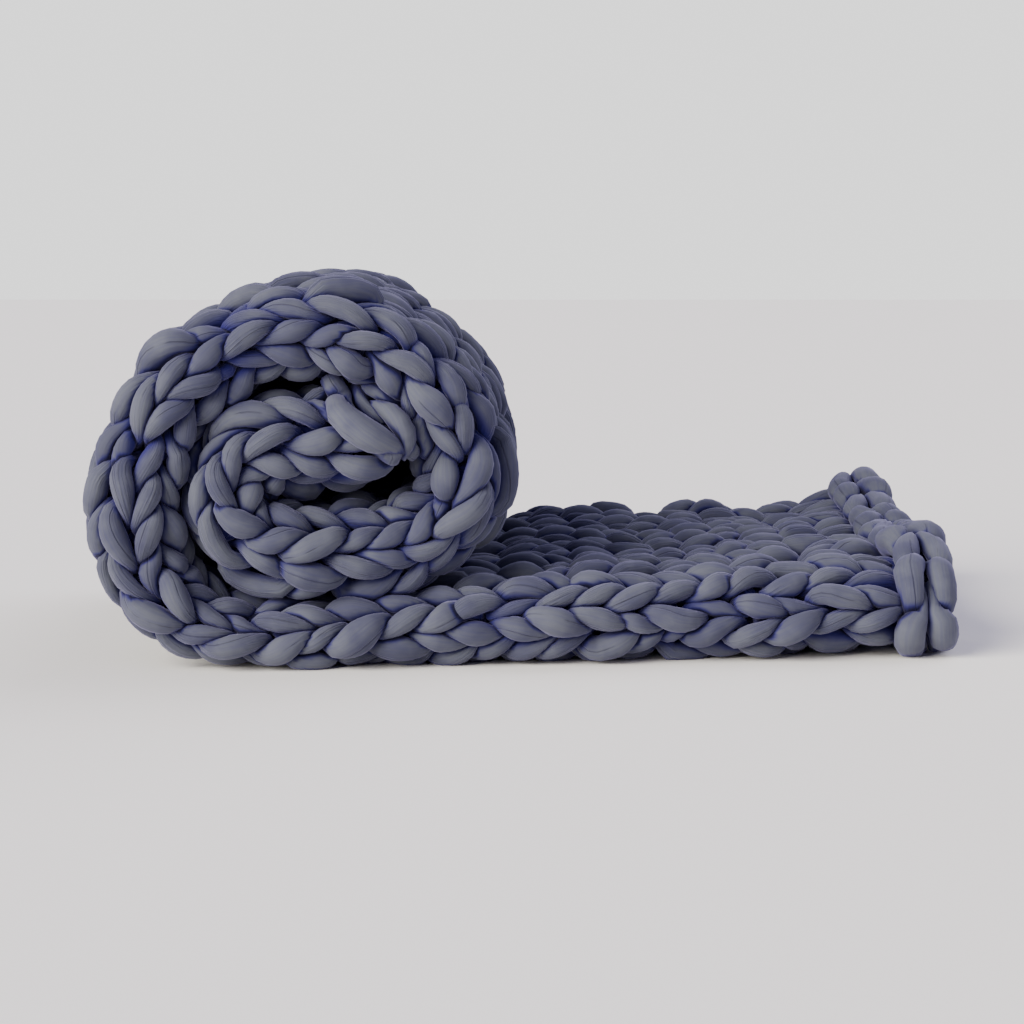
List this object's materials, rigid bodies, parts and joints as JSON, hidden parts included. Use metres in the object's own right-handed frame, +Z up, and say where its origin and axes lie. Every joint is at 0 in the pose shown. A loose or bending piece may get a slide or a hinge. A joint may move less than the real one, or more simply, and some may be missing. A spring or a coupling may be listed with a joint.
{
  "type": "weighted blanket",
  "caption": "Chunky hand-knitted weighted blanket of stuffed tube yarn, folded lengthwise and part rolled, with a flat tail.",
  "frame": {"origin": "on the floor, under the middle of the whole blanket's box", "axes": "+X along the flat tail away from the roll, +Y from the fold at the front to the selvedges at the back, +Z up"},
  "size_m": [0.8106, 0.6942, 0.356],
  "materials": {
    "jersey_yarn": "matt brushed jersey"
  },
  "bodies": {
    "root": {"knit_blanket": "jersey_yarn"}
  },
  "joints": []
}
